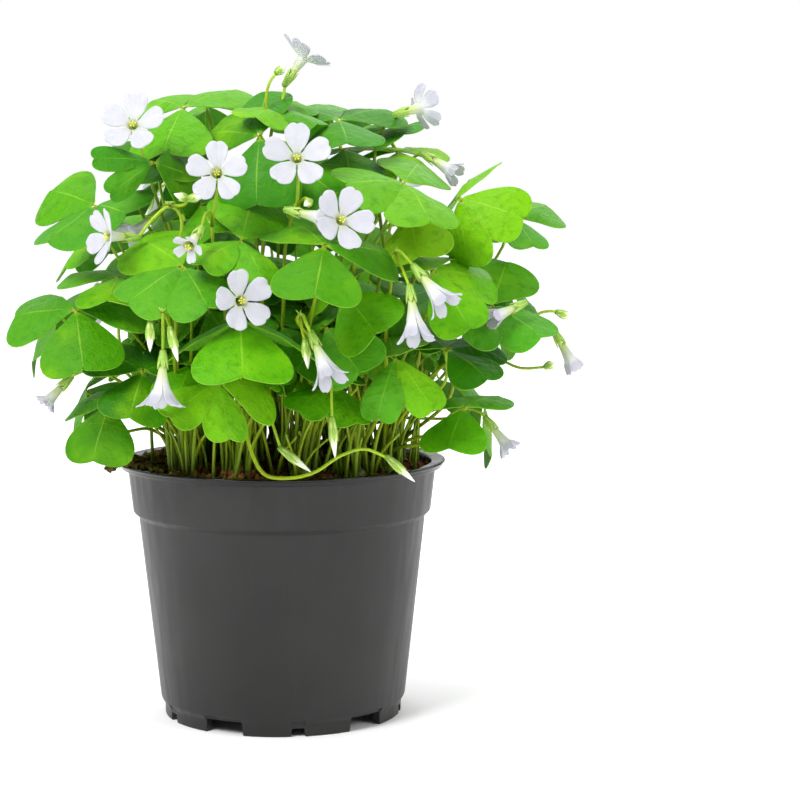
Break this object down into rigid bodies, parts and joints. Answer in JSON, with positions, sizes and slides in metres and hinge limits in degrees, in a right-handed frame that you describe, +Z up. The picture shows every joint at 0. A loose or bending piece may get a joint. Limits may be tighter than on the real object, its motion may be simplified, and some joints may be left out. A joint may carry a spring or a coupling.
{
  "type": "potted oxalis plant",
  "caption": "Bushy clover-leaved wood sorrel with white five-petalled flowers on arching stalks, growing in a black stepped plastic nursery pot.",
  "frame": {"origin": "on the surface that the pot stands on, under the middle of the whole plant's bounding box", "axes": "+Z up out of the pot, -Y towards the side of the plant that carries most flowers, +X to that side's right"},
  "size_m": [0.2172, 0.21, 0.2682],
  "materials": {
    "pot": "satin black nursery plastic with fine rings",
    "soil": "coarse dark brown potting soil with red-brown fibres",
    "foliage": "soft satin green leaf blades on yellow-green stalks",
    "petal": "thin white petals with a faint lavender shade"
  },
  "bodies": {
    "root": {"pot": "pot", "soil": "soil", "bunch_left": "foliage", "bunch_left_front": "foliage", "bunch_upper_left": "foliage", "bunch_front": "foliage", "bunch_upper_front": "foliage", "bunch_front_right": "foliage", "bunch_upper_right": "foliage", "bunch_right_front": "foliage", "bunch_right": "foliage", "bunch_far_right": "foliage", "bunch_back_1": "foliage", "bunch_back_2": "foliage", "bunch_back_3": "foliage", "bunch_back_4": "foliage", "bunch_back_5": "foliage", "corolla_01": "petal", "corolla_02": "petal", "corolla_03": "petal", "corolla_04": "petal", "corolla_05": "petal", "corolla_06": "petal", "corolla_07": "petal", "corolla_08": "petal", "corolla_09": "petal", "corolla_10": "petal", "corolla_11": "petal", "corolla_12": "petal", "corolla_13": "petal", "corolla_14": "petal", "corolla_15": "petal", "corolla_16": "petal", "corolla_17": "petal", "corolla_18": "petal", "corolla_19": "petal", "corolla_20": "petal", "corolla_back_1": "petal", "corolla_back_2": "petal", "corolla_back_4": "petal", "corolla_back_5": "petal"}
  },
  "joints": []
}
